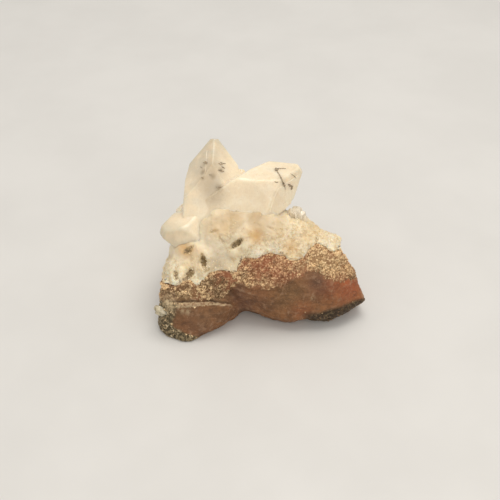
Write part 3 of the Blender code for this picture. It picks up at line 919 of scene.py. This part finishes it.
# Cleavage cracks on the faces seen from the front: their line (across, up) and their width.
CRACKS = (
    (((-14.1, 26.3), (-13.3, 26.2), (-12.5, 26.4)), 0.34),
    (((-13.6, 26.8), (-13.2, 26.2), (-12.7, 25.6)), 0.3),
    (((-9.5, 26.0), (-8.8, 25.7), (-8.0, 25.6)), 0.32), (((-9.0, 26.3), (-8.0, 26.1), (-7.2, 26.2)), 0.22),
    (((-8.6, 25.1), (-8.0, 24.8), (-7.5, 24.4)), 0.26), (((-15.0, 25.1), (-14.5, 24.7), (-14.0, 24.5)), 0.2),
    (((-9.5, 23.9), (-8.6, 23.6), (-7.6, 23.4)), 0.5), (((-14.5, 21.7), (-14.1, 21.3), (-13.8, 20.9)), 0.3),
    (((-10.2, 18.8), (-9.3, 18.6), (-8.3, 18.7)), 0.3), (((-12.2, 22.4), (-11.6, 22.2), (-11.2, 22.5)), 0.2),
    (((7.6, 24.4), (8.1, 23.5), (8.7, 22.4), (9.4, 20.9), (10.2, 19.1), (10.7, 17.9)), 0.3),
    (((7.5, 24.5), (8.0, 24.1), (8.3, 23.5)), 0.8), (((9.8, 20.1), (10.2, 19.3), (10.4, 18.7)), 0.8),
    (((8.0, 24.4), (9.4, 24.5), (11.0, 24.4)), 0.26), (((11.3, 19.7), (12.1, 19.2), (12.9, 19.3)), 0.5),
    (((12.8, 19.2), (12.5, 18.6), (12.3, 17.9)), 0.4), (((7.2, 20.2), (7.8, 20.0), (8.5, 20.1)), 0.25),
    (((12.0, 22.8), (13.2, 22.2), (14.0, 21.4)), 0.2),
)


def crack_lines(tree):
    """Thin ragged slivers let into the crystal faces along each crack."""
    rng = np.random.default_rng(SEEDS["cleavage_cracks"])
    bm = bmesh.new()
    inward = -face_vector(0, 0, 1)
    for line, width in CRACKS:
        rows = []
        for (x0, y0), (x1, y1) in zip(line, line[1:]):
            length = math.hypot(x1 - x0, y1 - y0)
            steps = max(2, int(length / CRACK_STEP))
            for step in range(steps):
                share = step / steps
                place = (x0 + (x1 - x0) * share, y0 + (y1 - y0) * share)
                rows.append((*place, -(y1 - y0) / length, (x1 - x0) / length))
        last = None
        for i, (x, y, side_x, side_y) in enumerate(rows):
            fade = math.sin(math.pi * (i + 0.6) / (len(rows) + 0.2)) ** 0.6
            ring = []
            for sign in (-1, 1):
                reach = sign * width * 0.75 * fade * rng.uniform(0.4, 1.3)
                hit = tree.ray_cast(face_point(x + side_x * reach, y + side_y * reach, 40) * MM, inward)
                if hit[0] is not None:
                    ring += [bm.verts.new(hit[0] / MM + hit[1] * lift) for lift in CRACK_LIFTS]
            if len(ring) < 4:
                last = None
                continue
            if last:
                for a, b in ((0, 1), (1, 3), (3, 2), (2, 0)):
                    bm.faces.new((last[a], last[b], ring[b], ring[a]))
            else:
                bm.faces.new((ring[0], ring[1], ring[3], ring[2]))
            last = ring
        if last:
            bm.faces.new((last[2], last[3], last[1], last[0]))
    bm.transform(Matrix.Scale(MM, 4))
    bmesh.ops.delete(bm, geom=[v for v in bm.verts if not v.link_faces], context="VERTS")
    bmesh.ops.recalc_face_normals(bm, faces=bm.faces)
    return made_from(bm, "cleavage_cracks")


def crystal_group(name, crystals):
    """Crystals grown into each other, each with smaller ones on its faces."""
    rng = np.random.default_rng(SEEDS[name])
    bodies = [fuse(crystal_body(crystal), growths_on(crystal, rng)) for crystal in crystals]
    group = fuse(bodies[0], bodies[1:])
    group.name = group.data.name = name
    return group


def milky_web(crystals):
    """Soft fillets that flow between the crystals, and from them into the crust."""
    web = new_object("web", crystals.data.copy())
    fuse(web, [clean_copy("drusy_crust", "crust_core")])
    even_mesh(web, sizes().web_voxel, 2)
    close = points_of(web.data)
    smoothed(web, 30)
    points, normals = points_of(web.data), normals_of(web.data)
    away = distance_to(surface_tree(crystals), points, 6.0)
    far = smooth_step(1.6, 4.0, away)[:, None]
    sink = 0.12 + 1.4 * smooth_step(1.2, 3.2, away) - 0.9 * smooth_step(3.4, 5.0, away)
    sink += 1.4 * patches(DENTS, *in_face_frame(points)[:2])
    set_points(web.data, points * (1 - far) + close * far - normals * sink[:, None])
    return web


# Operators


class BuildRock(bpy.types.Operator):
    """Build the fine surface of the matrix rock and the brown druse on it"""

    bl_idname = "cluster.rock"
    bl_label = "Build the rock"

    def execute(self, context):
        noise.seed_set(NOISE_SEED)
        rock = even_mesh(clean_copy("matrix_rock", "rock_surface", 0.12), sizes().rock_voxel, 4)
        crust_tree = surface_tree(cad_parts["drusy_crust"])
        points, normals = points_of(rock.data), normals_of(rock.data)
        across, up, out = in_face_frame(points)
        front = smooth_step(-4, 2, out)
        wobble = wobbles(points, SLOW)
        ragged = wobbles(points, FINE)
        top_edge = np.interp(across, *zip(*CRUST_EDGE))
        low_edge = np.interp(across, *zip(*BROWN_DRUSE_EDGE))
        druse = front * smooth_step(-0.5, 0.4, up + 1.0 * wobble + 0.6 * ragged - low_edge)
        druse *= smooth_step(-3, 0, top_edge + 1 - up)
        to_crust = distance_to(crust_tree, points, 6.0)
        near = 1 - smooth_step(1.0, 3.5, to_crust + 1.5 * wobble + ragged)
        druse = np.maximum(druse, near)
        rim_across = np.interp(up, *zip(*RIM_EDGE))
        side = 1 - smooth_step(-2, 4, out)
        past_rim = across - rim_across + (0.8 + 3 * side) * wobble + 0.6 * ragged + 1.5 * side
        rim = 1 - smooth_step(-1.0, 0.8, past_rim)
        vein_up, vein_half = (np.interp(across, [v[0] for v in VEIN], [v[i] for v in VEIN]) for i in (1, 2))
        along = smooth_step(-25.0, -23.0, across) * (1 - smooth_step(-6.4, -5.2, across)) * front
        offset = up - vein_up + 0.25 * ragged
        vein = along * (1 - smooth_step(0.7, 1.3, np.abs(offset) / vein_half))
        vein *= 0.45 + 0.55 * smooth_step(0.25, 0.7, np.abs(offset) / vein_half)
        groove = along * np.exp(-((offset - vein_half - 0.35) / 0.3) ** 2)
        ledge = along * np.exp(-((offset + vein_half * 0.2) / (vein_half + 0.3)) ** 2)
        base = smooth_step(0.2, 0.9, points[:, 2])
        moves = np.empty(len(points))
        for i, point in enumerate(points):
            at = Vector(point)
            broken = 0.2 * scoops(at, 6.5) + 0.17 * scoops(at, 2.6) + 0.09 * noise.noise(at / 0.6) - 0.42
            bent = at + 0.5 * noise.noise_vector(at / 1.1)
            crowd = 0.5 + 0.5 * noise.noise(at / 2.4)
            drusy = (0.2 + 0.6 * crowd) * (lumps(bent, 1.3) - 0.5) + 0.35 * noise.noise(at / 0.6)
            craggy = 0.5 * scoops(at, 1.4) + 0.4 * noise.noise(at / 0.8) - 0.3
            smooth = broken * (1 - rim[i]) + craggy * rim[i]
            moves[i] = smooth * (1 - druse[i]) + drusy * druse[i]
        moves += 0.3 * ledge - 0.35 * groove - dents(across, up, out)
        set_points(rock.data, points + normals * (moves * base)[:, None])
        # The underside strip at the lower right, which the finish darkens with painted shade.
        under_top = np.interp(across, (20, 34.5), (-18.8, -14.6))
        under = smooth_step(14.0, 20.0, across) * (1 - smooth_step(-1.2, 0.4, up - under_top))
        for name, values in (
            ("druse", druse),
            ("rim", np.clip(rim, 0, 1)),
            ("red", patches(RED_PATCHES, across, up) * front),
            ("wedge", patches(WEDGE_PATCHES, across + wobble, up) * front),
            ("olive", patches(OLIVE_PATCHES, across + wobble, up) * front),
            ("tan", patches(TAN_PATCHES, across, up + wobble) * front),
            ("vein", np.maximum(vein, patches(WHITE_PATCHES, across, up) * front)),
            # The groove above the vein gets painted shade through this mask too.
            ("under", np.maximum(under * front, 0.6 * groove)),
            # The fine and broad relief, for painted highlight on ridges and painted shade in hollows; the
            # broad one also stands for wear.
            ("relief", relief(rock, 10)),
            ("wear_and_edge_highlight", relief(rock, 60)),
        ):
            store(rock.data, name, values)
        give(rock, rock_finish(), "brown_rock", "matrix_rock")
        tan = patches(TAN_PATCHES, across, up) * front
        crowds = smooth_step(-0.3, 0.3, wobbles(points, 2.4) + 0.6 * wobbles(points, 1.0))
        weights = druse ** 1.5 * (0.05 + crowds) + 0.10 * rim + 0.06 * vein + 0.10 * under * front
        weights *= smooth_step(0.5, 1.4, points[:, 2])
        bright = smooth_step(-0.10, 0.30, 0.8 * wobbles(points + 40, 2.0) + 0.6 * wobbles(points, 0.8))
        crusted = 1 - smooth_step(0.3, 2.4, to_crust + wobble)
        # Grains on the underside strip are darker: painted shade.
        tint = 0.20 + 0.50 * bright + 0.60 * tan + 0.4 * vein + 0.1 * rim + 0.45 * crusted - 0.4 * under
        warm = patches(WARM_PATCHES, across + wobble, up) * front
        grains = grain_mesh(
            "brown_druse", rock, weights, sizes().brown_grains, BROWN_GRAIN_SIZES, BROWN_GRAIN_POINT,
            tint, warm,
        )
        finish = grain_finish(
            "brown_druse", (0.185, 0.110, 0.052), (0.90, 0.66, 0.37), (0.30, 0.110, 0.048), (0.78, 0.47, 0.25)
        )
        give(grains, finish, "brown_rock")
        return {"FINISHED"}


class BuildCrust(bpy.types.Operator):
    """Build the fine surface of the crust and the small crystals on it"""

    bl_idname = "cluster.crust"
    bl_label = "Build the crust"

    def execute(self, context):
        crust = clean_copy("drusy_crust", "crust_surface", 0.22)
        fuse(crust, [ball(centre, radius) for centre, radius in COLLARS])
        even_mesh(crust, sizes().crust_voxel, 6)
        crystal_tree = surface_tree(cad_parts["intergrown_crystals"])
        points, normals = points_of(crust.data), normals_of(crust.data)
        across, up, out = in_face_frame(points)
        away = distance_to(crystal_tree, points, 7.0)
        calm = 1 - smooth_step(1.0, 6.0, away)
        foot = 1 - smooth_step(2.2, 5.4, away + 0.8 * wobbles(points, 2.0))
        front = smooth_step(-2, 2, out)
        quiet = np.maximum(0.7 * calm, patches(QUIET_PATCHES, across, up) * front)
        hollow = pits(PITS, across + 0.35 * wobbles(points, 1.2), up) * front
        moves = np.empty(len(points))
        for i, point in enumerate(points):
            at = Vector(point)
            coarse = 0.40 * (lumps(at, 2.3) - 0.6)
            fine = 0.2 * (lumps(at, 1.0) - 0.5) + 0.12 * noise.noise(at / 0.55)
            moves[i] = coarse * (1 - 0.8 * quiet[i]) + fine * (1 - 0.75 * quiet[i])
        moves += 0.22 * (1 - smooth_step(0.3, 1.6, away)) - 0.5 * hollow
        moves -= dents(across, up, out)
        set_points(crust.data, points + normals * moves[:, None])
        wobble = wobbles(points, SLOW)
        ragged = wobbles(points, FINE)
        low_edge = np.interp(across, *zip(*CRUST_EDGE))
        for name, values in (
            ("foot", foot),
            ("arch", patches(ARCH_PATCHES, across, up + wobble) * front),
            ("yellow", patches(YELLOW_PATCHES, across + wobble, up) * front),
            ("pale", patches(PALE_PATCHES, across + wobble, up) * front),
            ("grey", patches(GREY_PATCHES, across, up + wobble) * front),
            ("orange", patches(ORANGE_PATCHES, across + 0.3 * ragged, up) * front),
            ("pit", hollow),
            ("quiet", quiet),
            ("brown", front * (1 - smooth_step(-0.2, 1.0, up + wobble + 0.8 * ragged - low_edge))),
            # The relief, for painted shade in the hollows and painted highlight on the bumps.
            ("relief", relief(crust, 12)),
        ):
            store(crust.data, name, values)
        give(crust, crust_finish(), "cream_druse", "drusy_crust")
        weights = (1.0 - 0.97 * foot) * (1.0 - 0.92 * quiet) * (1.0 - 0.8 * hollow)
        weights *= 0.25 + smooth_step(-0.3, 0.3, wobbles(points, 1.7))
        tint = 0.55 + 0.4 * wobbles(points, 1.3) - 0.5 * patches(YELLOW_PATCHES, across, up)
        warm = patches(YELLOW_PATCHES, across + wobble, up) * front
        grains = grain_mesh(
            "cream_grains", crust, weights, sizes().crust_grains, CRUST_GRAIN_SIZES, CRUST_GRAIN_POINT,
            tint, warm,
        )
        finish = grain_finish(
            "cream_grains", (0.74, 0.56, 0.31), (0.94, 0.84, 0.62), (0.66, 0.42, 0.16), (0.92, 0.74, 0.42)
        )
        give(grains, finish, "cream_druse")
        return {"FINISHED"}


class BuildCrystals(bpy.types.Operator):
    """Build the large intergrown crystals, their cracks and the milky web between them"""

    bl_idname = "cluster.crystals"
    bl_label = "Build the large crystals"

    def execute(self, context):
        group = crystal_group("crystal_points", INTERGROWN)
        fuse(group, [milky_web(group)])
        finish = milky_finish("milky_apophyllite", 0.32, 17, 30)
        give(group, finish, "milky_apophyllite", "intergrown_crystals")
        cracks = crack_lines(surface_tree(group))
        give(cracks, crack_finish(), "milky_apophyllite")
        return {"FINISHED"}


class BuildSmallCrystals(bpy.types.Operator):
    """Build the small clear crystals beside the large ones and at the left rim"""

    bl_idname = "cluster.small_crystals"
    bl_label = "Build the small crystals"

    def execute(self, context):
        side = crystal_group("clear_sprays", CLEAR_SPRAYS)
        finish = clear_finish("clear_apophyllite", (0.86, 0.76, 0.59), (0.40, 0.30, 0.18))
        give(side, finish, "clear_apophyllite", "small_clear_crystals")
        rim = crystal_group("rim_sprays", RIM_SPRAYS)
        finish = clear_finish("stained_apophyllite", (0.62, 0.54, 0.37), (0.20, 0.16, 0.09))
        give(rim, finish, "clear_apophyllite", "rim_crystals")
        return {"FINISHED"}


class BuildBackPair(bpy.types.Operator):
    """Build the pair of milky crystals at the back"""

    bl_idname = "cluster.back_pair"
    bl_label = "Build the back pair"

    def execute(self, context):
        pair = crystal_group("back_points", BACK_PAIR)
        give(pair, milky_finish("milky_pair", 0.22, 15, 29), "milky_apophyllite", "back_pair")
        return {"FINISHED"}


class BuildStage(bpy.types.Operator):
    """Set the floor, the soft lights and the camera"""

    bl_idname = "cluster.stage"
    bl_label = "Set the stage"

    def execute(self, context):
        scene = context.scene
        stage = scene.cluster_stage
        bm = bmesh.new()
        bmesh.ops.create_grid(bm, x_segments=1, y_segments=1, size=FLOOR_REACH)
        floor = made_from(bm, "floor")
        floor.location.z = -FLOOR_GAP
        floor.data.materials.append(floor_finish())
        world = bpy.data.worlds.new("soft_room")
        world.use_nodes = True
        world.node_tree.nodes["Background"].inputs["Color"].default_value = (1.0, 0.97, 0.93, 1)
        world.node_tree.nodes["Background"].inputs["Strength"].default_value = stage.room_light
        scene.world = world
        target = FACE_ORIGIN * MM
        for name, place, size, power, colour in (
            ("key", (0.04, 0.10, 0.62), 0.42, stage.key_power, (1.0, 0.96, 0.89)),
            ("fill", (0.20, -0.52, 0.40), 0.6, stage.key_power * 0.60, (1.0, 0.96, 0.90)),
        ):
            light = bpy.data.lights.new(name, "AREA")
            light.size = size
            light.energy = power
            light.color = colour
            lamp = bpy.data.objects.new(name, light)
            scene.collection.objects.link(lamp)
            lamp.location = place
            lamp.rotation_euler = (target - Vector(place)).to_track_quat("-Z", "Y").to_euler()
        camera = bpy.data.objects.new("camera", bpy.data.cameras.new("camera"))
        scene.collection.objects.link(camera)
        camera.data.lens = stage.lens
        camera.data.clip_start = 0.01
        back = Vector((0, -math.cos(stage.elevation), math.sin(stage.elevation)))
        camera.location = target + back * stage.distance
        camera.rotation_euler = (target - camera.location).to_track_quat("-Z", "Y").to_euler()
        scene.camera = camera
        scene.view_settings.view_transform = "Standard"
        return {"FINISHED"}


class ClusterPanel(bpy.types.Panel):
    """The cluster's settings and build steps"""

    bl_idname = "VIEW3D_PT_cluster"
    bl_label = "Apophyllite Cluster"
    bl_space_type = "VIEW_3D"
    bl_region_type = "UI"
    bl_category = "Cluster"

    def draw(self, context):
        scene = context.scene
        for group in (scene.cluster_sizes, scene.cluster_colours, scene.cluster_stage):
            box = self.layout.box()
            for name in group.__annotations__:
                box.prop(group, name)
        for step in STEPS:
            self.layout.operator(step.bl_idname)


STEPS = (BuildRock, BuildCrust, BuildCrystals, BuildSmallCrystals, BuildBackPair, BuildStage)
CLASSES = (ClusterSizes, ClusterColours, ClusterStage, *STEPS, ClusterPanel)


def register():
    for cls in CLASSES:
        bpy.utils.register_class(cls)
    bpy.types.Scene.cluster_sizes = bpy.props.PointerProperty(type=ClusterSizes)
    bpy.types.Scene.cluster_colours = bpy.props.PointerProperty(type=ClusterColours)
    bpy.types.Scene.cluster_stage = bpy.props.PointerProperty(type=ClusterStage)


def unregister():
    del bpy.types.Scene.cluster_stage
    del bpy.types.Scene.cluster_colours
    del bpy.types.Scene.cluster_sizes
    for cls in reversed(CLASSES):
        bpy.utils.unregister_class(cls)


def main():
    register()
    bpy.ops.cluster.rock()
    bpy.ops.cluster.crust()
    bpy.ops.cluster.crystals()
    bpy.ops.cluster.small_crystals()
    bpy.ops.cluster.back_pair()
    bpy.ops.cluster.stage()
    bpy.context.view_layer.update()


if __name__ == "__main__":
    main()
